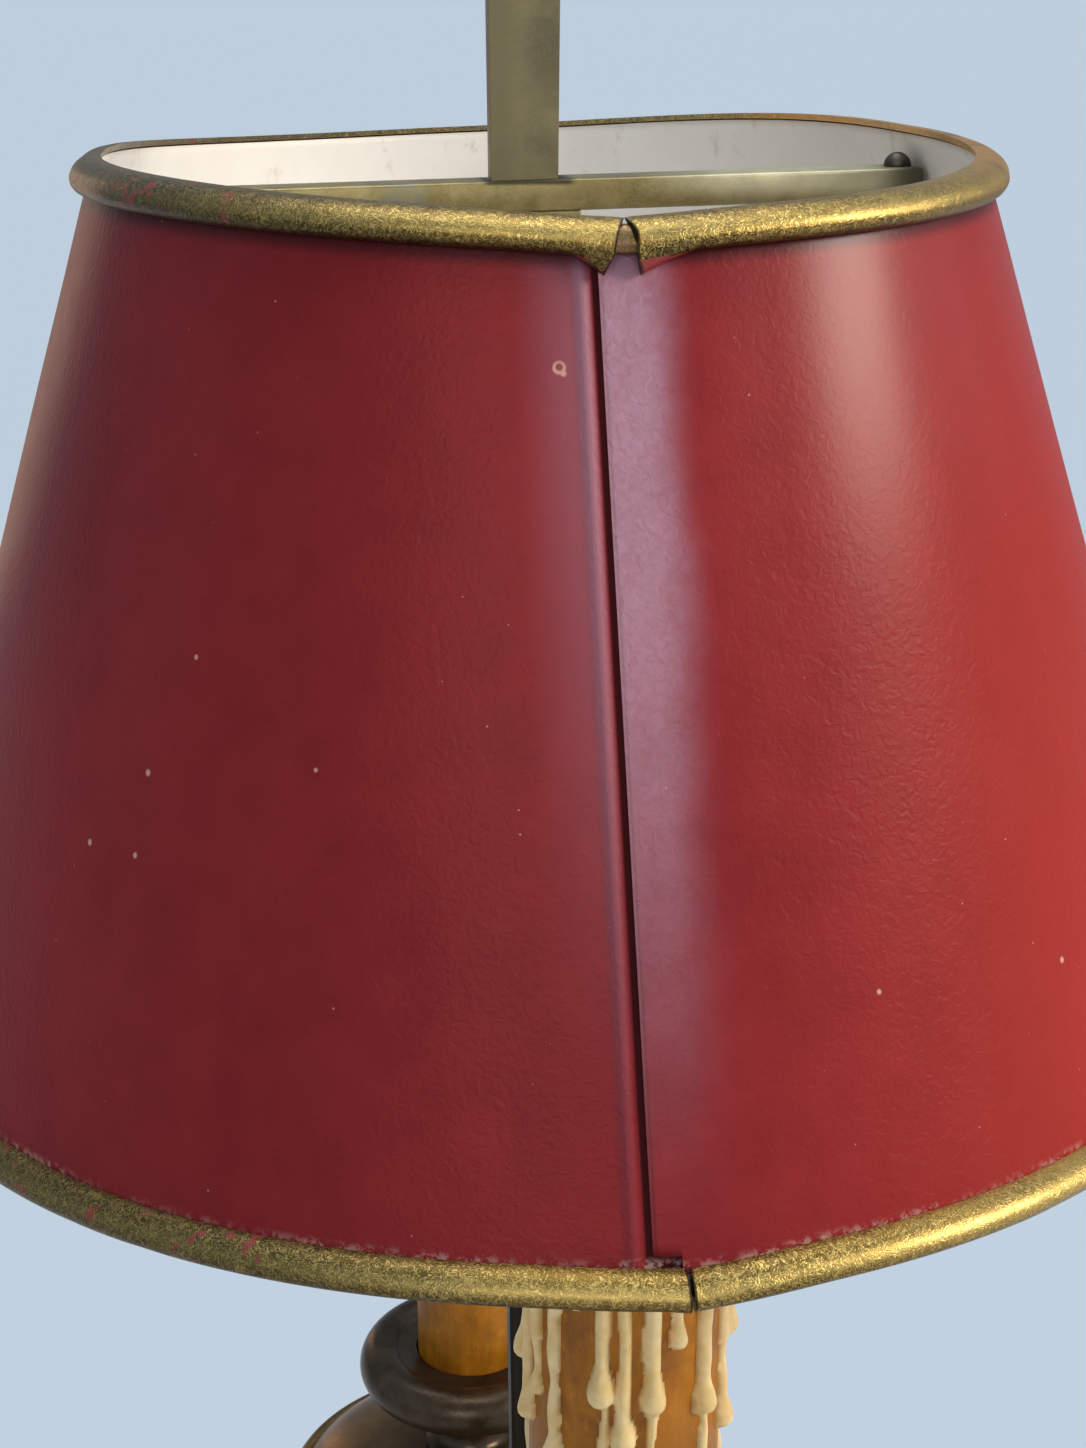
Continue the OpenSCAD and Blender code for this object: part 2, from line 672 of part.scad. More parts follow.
// Bottom edge of the sheet, cut short where the outer layer ends at the seam
function sheet_foot(i) = sheet_turn(i) - sheet_turn(0) < LAP_TURN * notch_share
    ? shade_h - bead_h - notch_h : shade_h - edge_in;

module shade_wall() {
    rings = [for (i = [0:STATIONS]) let(
        t = (sheet_turn(i) + 360) % 360,
        o = lift_at(sheet_turn(i) - sheet_turn(0)),
        low = sheet_foot(i) / shade_h,
        high = edge_in / shade_h
    ) each [
        shade_point(t - seam_skew * high, high, o - sheet), shade_point(t - seam_skew * high, high, o),
        shade_point(t - seam_skew * low, low, o), shade_point(t - seam_skew * low, low, o - sheet)
    ]];
    color("#8c2a2c") on_shade() polyhedron(points = rings, faces = tube_faces(STATIONS + 1, 4));
}

// Section of a half-round bead that caps the sheet's edge, as [outward, inward from the rim] steps
function bead_section() = concat(
    [[bead_gap, bead_h]],
    [for (a = [75:-25:-75]) [bead_gap + bead_d * cos(a), bead_h / 2 + bead_h / 2 * sin(a)]],
    [[bead_gap, 0], [-sheet - bead_lip, 0]],
    [[-sheet - bead_lip, edge_in - bead_gap / 2], [bead_gap, edge_in - bead_gap / 2]]
);
BEAD_SIDES = len(bead_section());

// A bead round the rim from one side of its gap to the other
module bead(middle_x, gap, at_low) {
    a = at_low ? low_x : top_x;
    power = at_low ? low_power : top_power;
    rim = at_low ? 1 : 0;
    from = 270 + turn_at(middle_x + gap / 2, a, power);
    span = 360 + turn_at(middle_x - gap / 2, a, power) - turn_at(middle_x + gap / 2, a, power);
    sections = [for (i = [0:STATIONS]) let(t = (from + span * i / STATIONS) % 360) each
        [for (s = bead_section()) shade_point(
            t, (at_low ? shade_h - s.y : s.y) / shade_h, s.x + bead_lift(t, rim)
        )]];
    faces = tube_faces(STATIONS + 1, BEAD_SIDES);
    color("#8a7238") on_shade()
        polyhedron(points = sections, faces = at_low ? faces : [for (f = faces) [f[2], f[1], f[0]]]);
}
module top_bead() { bead(top_split_x, top_gap, false); }
module bottom_bead() { bead(low_split_x, low_gap, true); }

module crossbar() {
    color("#8a7a48") on_shade() difference() {
        translate([shade_off - bar_half, -bar_d / 2, -bar_drop - bar_h]) cube([2 * bar_half, bar_d, bar_h]);
        translate([-slot_x / 2, -slot_y / 2, -bar_drop - bar_h - 1]) cube([slot_x, slot_y, bar_h + 2]);
    }
}

module solder_lugs() {
    foot_z = -bar_drop - bar_h;
    color("#5a5446") on_shade() translate([shade_off, 0, 0]) for (side = [0, 1]) mirror([side, 0, 0]) {
        translate([0, bar_d / 2 - lug_t, 0]) rotate([90, 0, 0]) linear_extrude(bar_d - 2 * lug_t) polygon([
            [bar_half - bar_d, foot_z], [bar_half - lug_t / 4, foot_z],
            [bar_half + flare_x * lug_drop / shade_h, foot_z - lug_drop],
            [bar_half - lug_t + flare_x * lug_drop / shade_h, foot_z - lug_drop]
        ]);
        difference() {
            translate([bar_half - bar_d / 4, 0, -bar_drop]) sphere(r = bar_d / 5, $fn = 24);
            translate([bar_half - bar_d, -bar_d / 2, -bar_drop - bar_d]) cube([2 * bar_d, bar_d, bar_d]);
        }
    }
}

module slide_collar() {
    color("#8a7a48") on_shade() translate([0, 0, -bar_drop - bar_h - collar_h]) difference() {
        union() {
            translate([-collar_x / 2, -collar_y / 2, 0]) cube([collar_x, collar_y, collar_h]);
            translate([0, collar_y / 2 - weld, collar_h / 2]) rotate([-90, 0, 0])
                cylinder(r = screw_r + 2.6, h = boss_l);
        }
        translate([-slot_x / 2, -slot_y / 2, -1]) cube([slot_x, slot_y, collar_h + 2]);
        translate([0, 0, collar_h / 2]) rotate([-90, 0, 0])
            cylinder(r = screw_r + screw_fit, h = collar_y + boss_l);
    }
}

module thumb_screw() {
    tip = rod_t / 2 + 0.15;
    head = collar_y / 2 + boss_l + screw_out;
    color("#a58f55") on_shade() translate([0, 0, -bar_drop - bar_h - collar_h / 2]) {
        translate([0, tip, 0]) rotate([-90, 0, 0]) cylinder(r = screw_r, h = head - tip);
        translate([0, head - 3, 0]) rotate([-90, 0, 0]) cylinder(r = screw_r + 1.4, h = 3);
        translate([0, head - weld, 0]) intersection() {
            translate([-wing_w / 2, 0, -1.2]) cube([wing_w, 11, 2.4]);
            union() for (x = ENDS) translate([x * wing_w / 4, 5, 0])
                cylinder(r = wing_w / 4 + 1.2, h = 4, center = true);
        }
    }
}

base_dish();
base_weight();
base_felt();
base_washer();
base_nut();
cord_bush();
tie_tube();
column_foot();
column_stem();
column_knop();
arm_hub();
rod_cap();
rod_pin();
shade_rod();
rod_finial();
arm_near();
arm_far();
drip_pan_near();
drip_pan_far();
candle_cup_near();
candle_cup_far();
nipple_near();
nipple_far();
pan_nut_near();
pan_nut_far();
holder_near();
holder_far();
holder_contact_near();
holder_contact_far();
candle_sleeve_near();
candle_sleeve_far();
wax_drips();
bulb_glass_near();
bulb_glass_far();
bulb_cap_near();
bulb_cap_far();
inner_wires();
shade_wall();
top_bead();
bottom_bead();
crossbar();
solder_lugs();
slide_collar();
thumb_screw();
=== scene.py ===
"""Candle lamp with a red tin shade: fine pieces, finishes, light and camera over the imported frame."""

import json
import math

import bmesh
import bpy
from mathutils import Matrix, Vector, noise


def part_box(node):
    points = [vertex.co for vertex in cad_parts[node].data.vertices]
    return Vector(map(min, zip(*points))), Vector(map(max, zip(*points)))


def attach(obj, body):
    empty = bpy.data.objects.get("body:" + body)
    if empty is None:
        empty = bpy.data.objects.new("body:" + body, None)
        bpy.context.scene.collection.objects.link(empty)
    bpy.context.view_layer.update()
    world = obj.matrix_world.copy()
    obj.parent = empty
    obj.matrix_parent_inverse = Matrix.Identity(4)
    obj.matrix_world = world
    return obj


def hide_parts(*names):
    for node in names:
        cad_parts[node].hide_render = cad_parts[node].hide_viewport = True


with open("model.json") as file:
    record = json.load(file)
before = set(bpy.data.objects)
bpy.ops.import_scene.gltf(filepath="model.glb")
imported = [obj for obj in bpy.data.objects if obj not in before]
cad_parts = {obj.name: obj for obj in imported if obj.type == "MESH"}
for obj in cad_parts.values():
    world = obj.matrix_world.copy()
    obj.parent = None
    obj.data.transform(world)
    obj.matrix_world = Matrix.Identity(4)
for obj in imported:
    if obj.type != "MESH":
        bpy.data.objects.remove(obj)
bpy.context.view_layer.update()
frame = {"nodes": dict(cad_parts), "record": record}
MM = 0.001
BODY_OF = {n: b for b, nodes in frame["record"]["behaviour"]["bodies"].items() for n in nodes}


# Shader sums

def tone(r, g, b):
    """A colour written as it looks on a screen, 0 to 255, as linear light."""
    def one(c):
        c = c / 255
        return c / 12.92 if c <= 0.04045 else ((c + 0.055) / 1.055) ** 2.4
    return (one(r), one(g), one(b), 1.0)


class Wire:
    """One shader socket that can be used in sums."""

    def __init__(self, finish, socket):
        self.finish = finish
        self.socket = socket

    def sum_node(self, operation, *values, clamp=False):
        return self.finish.node("ShaderNodeMath", {"operation": operation, "use_clamp": clamp},
                                dict(enumerate(values)))

    def __add__(self, other):
        return self.sum_node("ADD", self, other)

    __radd__ = __add__

    def __sub__(self, other):
        return self.sum_node("SUBTRACT", self, other)

    def __rsub__(self, other):
        return self.sum_node("SUBTRACT", other, self)

    def __mul__(self, other):
        return self.sum_node("MULTIPLY", self, other)

    __rmul__ = __mul__

    def __truediv__(self, other):
        return self.sum_node("DIVIDE", self, other)

    def __pow__(self, other):
        return self.sum_node("POWER", self, other)

    def __abs__(self):
        return self.sum_node("ABSOLUTE", self)

    def held(self):
        """The value kept between 0 and 1."""
        return self.sum_node("ADD", self, 0.0, clamp=True)

    def larger(self, other):
        return self.sum_node("MAXIMUM", self, other)

    def rise(self, low, high):
        """0 below low, 1 above high and smooth between them. It falls instead where low is above high."""
        if low > high:
            return 1 - self.rise(high, low)
        return self.finish.node("ShaderNodeMapRange", {"interpolation_type": "SMOOTHSTEP"},
                                {"Value": self, "From Min": low, "From Max": high})


class Finish:
    """A material made of nodes."""

    def __init__(self, name):
        self.material = bpy.data.materials.new(name)
        self.material.use_nodes = True
        self.tree = self.material.node_tree
        self.tree.nodes.clear()
        self.place = self.node("ShaderNodeTexCoord", out="Object")

    def node(self, kind, settings=None, values=None, out=0):
        made = self.tree.nodes.new(kind)
        for key, value in (settings or {}).items():
            setattr(made, key, value)
        for key, value in (values or {}).items():
            if isinstance(value, Wire):
                self.tree.links.new(value.socket, made.inputs[key])
            else:
                made.inputs[key].default_value = value
        return Wire(self, made.outputs[out])

    def at(self, stretch=(1, 1, 1), shift=(0, 0, 0)):
        return self.node("ShaderNodeMapping", None, {"Vector": self.place, "Scale": stretch, "Location": shift})

    def cloud(self, size, detail=3.0, rough=0.55, bend=0.0, stretch=(1, 1, 1), shift=(0, 0, 0)):
        """Noise from 0 to 1, whose spots are about size mm across."""
        return self.node("ShaderNodeTexNoise", None, {
            "Vector": self.at(stretch, shift), "Scale": 1 / (size * MM), "Detail": detail,
            "Roughness": rough, "Distortion": bend})

    def axis(self, name):
        return self.node("ShaderNodeSeparateXYZ", None, {"Vector": self.place}, out=name)

    def near(self, point, radius, soft=0.35):
        """1 inside a ball of that radius in mm about a point, fading at its edge."""
        gap = self.node("ShaderNodeVectorMath", {"operation": "DISTANCE"},
                        {0: self.place, 1: [c * MM for c in point]}, out="Value")
        return gap.rise(radius * (1 + soft) * MM, radius * (1 - soft) * MM)

    def mix(self, share, low, high):
        return self.node("ShaderNodeMix", {"data_type": "RGBA", "clamp_factor": True},
                         {"Factor": share, 6: low, 7: high}, out=2)

    def bump(self, height, strength, depth):
        """Small relief, where depth is in mm for a height of 1."""
        return self.node("ShaderNodeBump", None, {"Strength": strength, "Distance": depth * MM, "Height": height})

    def close(self, color, roughness, normal=None, metallic=0.0, **fixed):
        values = {"Base Color": color, "Roughness": roughness, "Metallic": metallic}
        if normal:
            values["Normal"] = normal
        values.update({key.replace("_", " "): value for key, value in fixed.items()})
        shader = self.node("ShaderNodeBsdfPrincipled", None, values)
        self.node_out(shader)
        return self.material

    def node_out(self, shader):
        end = self.tree.nodes.new("ShaderNodeOutputMaterial")
        self.tree.links.new(shader.socket, end.inputs["Surface"])


# Finishes

def old_brass(name, dark, mid, light, rough=0.36, grain=3.0, wear=0.5, metallic=0.9, tint=None, shaded=None,
              painted_bar_light=False):
    """Brass with a mottled patina and fine worm-like scuffs. Below the height shaded, in metres, it is darker, and
    its left side is darker too: both are painted shade.

    On the crossbar it carries painted light: a painted shadow round its slot, painted shade at its soldered right
    end where it meets the wall, and a painted highlight on its upper part between them."""
    f = Finish(name)
    patches = f.cloud(3 * grain, 5.0, 0.62, 0.4)
    worms = abs(f.cloud(0.3 * grain, 2.0, 0.5, 1.6) - 0.5).rise(0.1, 0.01)
    broad = f.cloud(34, 2.0, 0.5)
    share = (patches * 0.8 + broad * 0.5 - 0.15).rise(0.25, 0.85)
    color = f.mix(share, dark, mid)
    scuffs = f.cloud(6, 4.0, 0.7, 0, (1, 1, 1), (3, 1, 2)).rise(0.42, 0.7)
    color = f.mix((worms * wear * (0.35 + scuffs * 0.65)).held(), color, light)
    if tint:
        color = f.mix(f.cloud(14, 3.0, 0.6, 0, (1, 1, 1), (9, 4, 7)).rise(0.52, 0.7) * 0.7, color, tint)
    if shaded:
        # Painted shade: the left side darkened, and everything below the given height darkened further.
        color = f.mix(f.axis("X").rise(0.0005, -0.0045) * 0.45, color, tone(72, 66, 46))
        color = f.mix(f.axis("Z").rise(shaded + 0.03, shaded), color, tone(38, 32, 24))
    if painted_bar_light:
        # Painted light: a painted shadow round the slot, a painted highlight along the upper part, and painted
        # shade at the right end.
        height = f.axis("Z") / MM
        from_slot = abs(f.axis("X") / MM - SLOT_X)
        slot = from_slot.rise(SLOT_HALF + 1, SLOT_HALF - 1) * height.rise(BAR_TOP - 1.0, BAR_TOP - 0.4)
        pale = f.axis("X").rise(0.016, 0.04) * height.rise(BAR_TOP - 4.0, BAR_TOP - 1.0)
        color = f.mix(pale * (0.35 + patches * 0.6), color, tone(216, 210, 176))
        painted_bar_shade = slot.larger(f.axis("X").rise(0.058, 0.067))
        color = f.mix(painted_bar_shade * 0.85, color, tone(34, 30, 24))
    roughness = (rough + (patches - 0.5) * 0.3 + (1 - worms) * 0.1 * wear).held()
    return f.close(color, roughness, f.bump(worms * wear * 0.5 + patches * 0.8, 0.4, 0.1), metallic)


def rim_brass(name):
    """Brass of the beads, mapped by mm from the split and mm below the rim. The turned-down skirts are painted."""
    f = Finish(name)
    worms = abs(f.cloud(1.3, 1.5, 0.5, 2.2) - 0.5).rise(0.06, 0.01)
    second = abs(f.cloud(0.8, 1.0, 0.5, 1.5, (1, 1, 1), (4, 2, 6)) - 0.5).rise(0.06, 0.01)
    patches = f.cloud(10, 4.0, 0.6, 0.3)
    left = f.axis("X").rise(0.0, -0.06)
    color = f.mix(patches.rise(0.3, 0.7), tone(88, 68, 26), tone(122, 96, 40))
    # Painted shade: the left part of the beads darker, and it keeps less of the painted highlight below.
    color = f.mix(left * 0.75, color, tone(56, 51, 32))
    # Painted light: the right part of the beads lighter, and the right end of the top bead warm orange, as painted
    # highlights.
    color = f.mix(f.axis("X").rise(0.015, 0.06) * 0.45, color, tone(214, 178, 104))
    color = f.mix(f.axis("X").rise(0.048, 0.064) * f.axis("Z").rise(0.45, 0.47) * 0.6, color, tone(216, 140, 66))
    color = f.mix(f.axis("Y").rise(0.05, 0.09) * 0.8, color, tone(104, 102, 88))
    color = f.mix(f.cloud(16, 3.0, 0.6, 0, (1, 1, 1), (9, 4, 7)).rise(0.5, 0.7) * 0.5, color, tone(76, 68, 38))
    place = f.node("ShaderNodeUVMap", {"uv_map": "bead"})
    along = f.node("ShaderNodeSeparateXYZ", None, {"Vector": place}, out="X")
    down = f.node("ShaderNodeSeparateXYZ", None, {"Vector": place}, out="Y")
    # A painted highlight along the upper middle of each bead and painted shade on its lower half.
    painted_highlight_band = down.rise(0.6, 1.6) * down.rise(3.2, 2.1)
    painted_low_shade = down.rise(2.6, 4.3)
    color = f.mix(painted_highlight_band * 0.42 * (1 - left * 0.8), color, tone(206, 178, 104))
    color = f.mix(painted_low_shade * 0.75, color, tone(40, 30, 13))
    scuffed = (worms * 0.5 + second * 0.3).held() * (1 - left * 0.5) * (1 - painted_low_shade * 0.5)
    color = f.mix(scuffed, color, tone(220, 190, 112))
    # Painted shade: the bead's end faces at its split painted dark.
    color = f.mix(abs(along).rise(0.32, 0.15) * 0.9, color, tone(30, 20, 12))
    ragged = f.cloud(1.4, 3.0, 0.6) * 1.2
    painted = (down + ragged).rise(5.3, 5.8) * (along.rise(-0.5, 1) + along.rise(-2, -4)).held()
    flecks = f.cloud(3, 3.0, 0.6, 0, (1, 1, 1), (2, 8, 3)).rise(0.6, 0.64) * f.axis("X").rise(-0.045, -0.052)
    painted = painted.larger(flecks * 0.8)
    color = f.mix(painted, color, tone(134, 34, 38))
    metallic = 0.85 - painted * 0.85
    roughness = (0.3 + patches * 0.12 - worms * 0.06 + painted * 0.1).held()
    return f.close(color, roughness, f.bump(worms * 0.6 + second * 0.4 + patches * 0.8, 0.4, 0.07), metallic)


def red_tin():
    """Red paint on tin, mapped by mm past the seam and share of the height.

    It has slight orange peel, a painted sky reflection on the overlapping strip with painted highlights on the
    ridge and edge beside it, painted shade in the seam and under the top bead, painted light on the right and
    painted shade at the upper left, dust on its foot and a few chips."""
    f = Finish("red_tin")
    streak = f.cloud(30, 3.0, 0.5, 0.2, (1, 1, 0.22))
    mottle = f.cloud(8, 3.0, 0.55)
    peel = f.cloud(1.15, 2.0, 0.5, 0.8)
    ripple = f.cloud(18, 2.0, 0.5, 0, (1, 1, 0.5))
    color = f.mix((streak * 0.6 + mottle * 0.4).rise(0.3, 0.7), tone(122, 33, 37), tone(138, 41, 44))
    # Painted light: the right side of the shade warmer and lighter.
    color = f.mix(f.axis("X").rise(0.0, 0.09) * 0.85, color, tone(168, 50, 38))
    # Painted shade along the upper left edge.
    color = f.mix(f.axis("X").rise(-0.05, -0.085) * f.axis("Z").rise(0.42, 0.47) * 0.35, color, tone(46, 22, 22))
    spot = f.node("ShaderNodeUVMap", {"uv_map": "sheet"})
    down = f.node("ShaderNodeSeparateXYZ", None, {"Vector": spot}, out="Y")
    past = f.node("ShaderNodeSeparateXYZ", None, {"Vector": spot}, out="X")
    uneven = (f.cloud(13, 3.0, 0.6, 0, (1, 1, 0.6), (7, 2, 1)) - 0.5) * 5
    before = 360 * MM_PER_DEGREE - past
    flap = (past + uneven - down * 2.5).rise(12.5, 2.0) ** 2.6 * down.rise(0.98, 0.2)
    painted_ridge_highlight = before.rise(13.0, 2.0) * before.rise(0.8, 1.2) * down.rise(0.9, 0.1) * 0.24
    painted_ridge_highlight = painted_ridge_highlight + before.rise(3.6, 2.6) * before.rise(1.1, 1.9) * down.rise(1.2, 0.1) * 0.25
    seam = before.rise(1.0, 0.6)
    dust = down.rise(0.955, 0.966) * f.cloud(1.3, 4.0, 0.7).rise(0.45, 0.6)
    dust = dust * (0.35 + f.cloud(16, 2.0, 0.5, 0, (1, 1, 1), (6, 1, 4)).rise(0.4, 0.6) * 0.65)
    # Painted reflection of the pale sky on the overlapping strip, and a painted highlight on the ridge left of the
    # seam.
    painted_sky_reflection = (flap * (0.32 + peel * 0.45 + mottle * 0.25)).larger(painted_ridge_highlight)
    color = f.mix(painted_sky_reflection, color, tone(180, 145, 166))
    # Painted highlight along the overlapping strip's edge.
    color = f.mix(past.rise(0.5, 0.15) * down.rise(1.1, 0.3) * 0.5, color, tone(212, 150, 156))
    # Painted shade: under the top bead, in the seam's groove, and on the sheet behind the bottom bead, seen
    # through its split.
    painted_shade_under_bead = down.rise(0.056, 0.04) * (0.75 - flap * 0.55)
    color = f.mix(painted_shade_under_bead.larger(seam * 0.85).larger(down.rise(0.966, 0.97)), color, tone(44, 12, 15))
    color = f.mix((dust * 0.75).held(), color, tone(190, 150, 142))
    point, size = CHIPS[0]
    worn = f.near(point, size, 0.25).larger(f.near([point[0] + 0.5, point[1], point[2] - 0.75], size * 0.5))
    worn = worn - f.near([point[0], point[1], point[2] + 0.1], size * 0.55, 0.3)
    for point, size in CHIPS[1:]:
        worn = worn.larger(f.near(point, size))
    speck = f.node("ShaderNodeTexVoronoi", None, {"Vector": f.place, "Scale": 1 / (4.5 * MM)}, out="Distance")
    worn = worn.larger(speck.rise(0.04, 0.02) * f.cloud(24, 1.0).rise(0.42, 0.52) * 0.8)
    color = f.mix(worn, color, tone(204, 150, 140))
    roughness = (0.31 + mottle * 0.1 + dust * 0.3 + worn * 0.2 + seam * 0.4).held()
    relief = f.bump(peel * (0.95 + flap * 0.9) + ripple * 0.7 - worn * 1.2, 0.6, 0.18)
    glossy = (flap * 0.3).larger(down.rise(0.45, 0.05) * f.axis("X").rise(0.0, 0.03) * 0.36)
    return f.close(color, roughness, relief, 0.0, Coat_Weight=glossy, Coat_Roughness=0.28, Coat_IOR=1.5,
                   Specular_IOR_Level=0.09)


def white_enamel():
    f = Finish("white_enamel")
    mottle = f.cloud(12, 4.0, 0.6)
    stain = f.cloud(5, 4.0, 0.7, 0, (1, 1, 0.4), (2, 3, 4)).rise(0.58, 0.75)
    color = f.mix(mottle, tone(255, 252, 246), tone(246, 242, 234))
    # Painted shade: the right part of the inside darker.
    color = f.mix(f.axis("X").rise(0.03, 0.07) * 0.5, color, tone(206, 192, 176))
    color = f.mix(stain * 0.4, color, tone(176, 150, 120))
    return f.close(color, (0.45 + mottle * 0.2).held(), f.bump(mottle, 0.3, 0.1))


def ochre_sleeve():
    """Card candle tube under old ochre varnish, browned in streaks and blotches, with fine lighter flecks."""
    f = Finish("ochre_sleeve")
    streak = f.cloud(7, 4.0, 0.6, 0.6, (1, 1, 0.18))
    blotch = f.cloud(11, 4.0, 0.65, 0.8)
    fine = f.cloud(1.2, 3.0, 0.6, 0, (1, 1, 0.5))
    color = f.mix((streak * 0.6 + blotch * 0.5).rise(0.35, 0.72), tone(122, 73, 2), tone(172, 109, 8))
    color = f.mix(fine.rise(0.55, 0.75) * 0.4, color, tone(196, 136, 28))
    color = f.mix(blotch.rise(0.62, 0.8) * 0.5, color, tone(112, 64, 2))
    relief = f.bump(streak * 0.6 + fine * 0.4, 0.4, 0.15)
    return f.close(color, (0.38 + blotch * 0.25).held(), relief, 0.0, Specular_IOR_Level=0.3)


def candle_wax():
    f = Finish("candle_wax")
    blotch = f.cloud(4, 4.0, 0.6, 0.4)
    broad = f.cloud(14, 2.0, 0.5, 0, (1, 1, 0.4))
    color = f.mix((blotch * 0.6 + broad * 0.5).rise(0.35, 0.75), tone(226, 180, 112), tone(250, 216, 160))
    color = f.mix(f.cloud(1.6, 3.0, 0.7).rise(0.62, 0.75) * 0.35, color, tone(206, 148, 70))
    return f.close(color, (0.3 + blotch * 0.2).held(), f.bump(blotch, 0.4, 0.1), 0.0,
                   Subsurface_Weight=0.3, Subsurface_Radius=(0.005, 0.0025, 0.001), Subsurface_Scale=1.0)


def plain(name, low, high, rough, size=4.0, metallic=0.0, depth=0.08, **fixed):
    """A simple surface that still has grain and slight variation."""
    f = Finish(name)
    grain = f.cloud(size, 4.0, 0.6)
    fine = f.cloud(size / 6, 3.0, 0.6)
    color = f.mix((grain * 0.7 + fine * 0.3).rise(0.3, 0.7), low, high)
    return f.close(color, (rough + (grain - 0.5) * 0.2).held(), f.bump(grain * 0.5 + fine * 0.5, 0.4, depth),
                   metallic, **fixed)


def felt_pad():
    f = Finish("felt_pad")
    fibre = f.cloud(0.7, 4.0, 0.75, 1.5)
    patch = f.cloud(12, 3.0, 0.5)
    color = f.mix((fibre * 0.7 + patch * 0.3).rise(0.3, 0.7), tone(30, 50, 34), tone(58, 82, 58))
    return f.close(color, 0.95, f.bump(fibre, 0.8, 0.3), 0.0, Sheen_Weight=0.4, Sheen_Roughness=0.5)


# Sizes of the shade, repeated from the part's source

TOP = (69.3, 106.0)
LOW = (115.6, 149.5)
TOP_POWER = 2.5
LOW_POWER = 2.0
OFF_ROD = -1.5
SHADE_H = 133.0
SHEET = 0.7
LEAN = math.radians(-1.3)
BAR_TOP = 495.755
BAR_DROP = 5.4
SLOT_X = 0.3
SLOT_HALF = 7.5
BEAD_H = 4.8
BEAD_D = 2.8
EDGE_IN = 1.1
BEAD_GAP = 0.2
LIFT = 0.8
SEAM_SKEW = 1.1
TOP_SPLIT = 0.0
TOP_GAP = 2.7
LOW_SPLIT = -0.8
LOW_GAP = 0.5
MM_PER_DEGREE = TOP[1] * math.pi / 180
NEAR_END = 270


def signed_power(v, p):
    return math.copysign(abs(v) ** p, v)


def turn_at(x, a, power):
    """Angle past the near end of the long axis, where a rim with half breadth a stands x mm to the right."""
    return math.degrees(math.asin(signed_power(x / a, power / 2)))


SEAM_TURN = turn_at(3.5, TOP[0], TOP_POWER)
LAP_TURN = SEAM_TURN + turn_at(5.1, TOP[0], TOP_POWER)


def oval(half, out, power, t):
    a = math.radians(t)
    return ((half[0] + out) * signed_power(math.cos(a), 2 / power),
            (half[1] + out) * signed_power(math.sin(a), 2 / power))


def shade_point(t, f, out):
    """A point of the shade in metres: angle t, share f of the height from the top, grown outwards by out mm."""
    t = t % 360
    a = oval(TOP, out, TOP_POWER, t)
    b = oval(LOW, out, LOW_POWER, t)
    dip = 2.0 * math.exp(-abs(t - NEAR_END) / 14)
    wave = math.radians(2 * t)
    top_z = 1.3 * math.cos(wave) + 0.9 * math.sin(wave) - dip
    low_z = -4.8 * math.cos(wave) - dip
    x = a[0] + (b[0] - a[0]) * f + OFF_ROD
    y = a[1] + (b[1] - a[1]) * f
    z = top_z + (low_z - SHADE_H - top_z) * f + BAR_DROP
    return Vector((x * math.cos(LEAN) + z * math.sin(LEAN), y,
                   z * math.cos(LEAN) - x * math.sin(LEAN) + BAR_TOP)) * MM


def layer_lift(turn):
    """Outward lift of the outer layer, turn degrees past the seam's edge."""
    return LIFT * smooth_step(3.4 - turn / LAP_TURN, 0.0, 2.6)


def bead_lift(t, f):
    past = (t - NEAR_END + SEAM_TURN + SEAM_SKEW * f + 720) % 360
    return max(layer_lift(past), layer_lift(LAP_TURN + 360 - past))


def smooth_step(v, low, high):
    s = max(0.0, min(1.0, (v - low) / (high - low)))
    return s * s * (3 - 2 * s)


def hump(v, middle, width):
    return math.exp(-((v - middle) / width) ** 2)


# Chips in the red paint, as a point on the shade in mm and a radius in mm
CHIPS = [([c / MM for c in shade_point(t, f, 0)], r) for t, f, r in (
    (265.5, 0.142, 0.85), (233.2, 0.438, 0.35), (229.5, 0.556, 0.45), (245.2, 0.526, 0.3), (223.9, 0.639, 0.45),
    (229.2, 0.637, 0.4), (268.6, 0.309, 0.35), (302.1, 0.779, 0.45), (284.2, 0.749, 0.35))]


# Making and finishing pieces

def keep(bm, name, body, finishes, *nodes, sharp=38.0, slot=None):
    """Turns a bmesh into a finished piece that rides on a body and stands for CAD nodes."""
    for face in bm.faces:
        face.smooth = True
    for edge in bm.edges:
        if len(edge.link_faces) == 2:
            edge.smooth = edge.calc_face_angle(0.0) < math.radians(sharp)
    mesh = bpy.data.meshes.new(name)
    bm.to_mesh(mesh)
    bm.free()
    piece = bpy.data.objects.new(name, mesh)
    bpy.context.scene.collection.objects.link(piece)
    for finish in finishes:
        mesh.materials.append(finish)
    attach(piece, body)
    if nodes:
        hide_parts(*nodes)
    return piece


def smoothed(node, finish, edge):
    """A CAD node's own shape with smooth turned faces and, where it is asked for, rounded edges."""
    bm = bmesh.new()
    bm.from_mesh(frame["nodes"][node].data)
    bmesh.ops.remove_doubles(bm, verts=bm.verts, dist=2e-6)
    bmesh.ops.dissolve_limit(bm, angle_limit=math.radians(0.6), verts=bm.verts, edges=bm.edges)
    if edge:
        corners = [e for e in bm.edges if len(e.link_faces) == 2 and e.calc_face_angle(0.0) > math.radians(50)]
        bmesh.ops.bevel(bm, geom=corners, offset=edge * MM, offset_type="OFFSET", affect="EDGES", segments=3,
                        profile=0.5, material=-1, clamp_overlap=True)
    return keep(bm, node + "_piece", BODY_OF[node], [finish], node)


def grid(columns, rows):
    """A flat sheet of faces, whose vertices run from 0 to 1 both ways."""
    bm = bmesh.new()
    bmesh.ops.create_grid(bm, x_segments=columns, y_segments=rows, size=0.5)
    bmesh.ops.translate(bm, verts=bm.verts, vec=(0.5, 0.5, 0.0))
    return bm


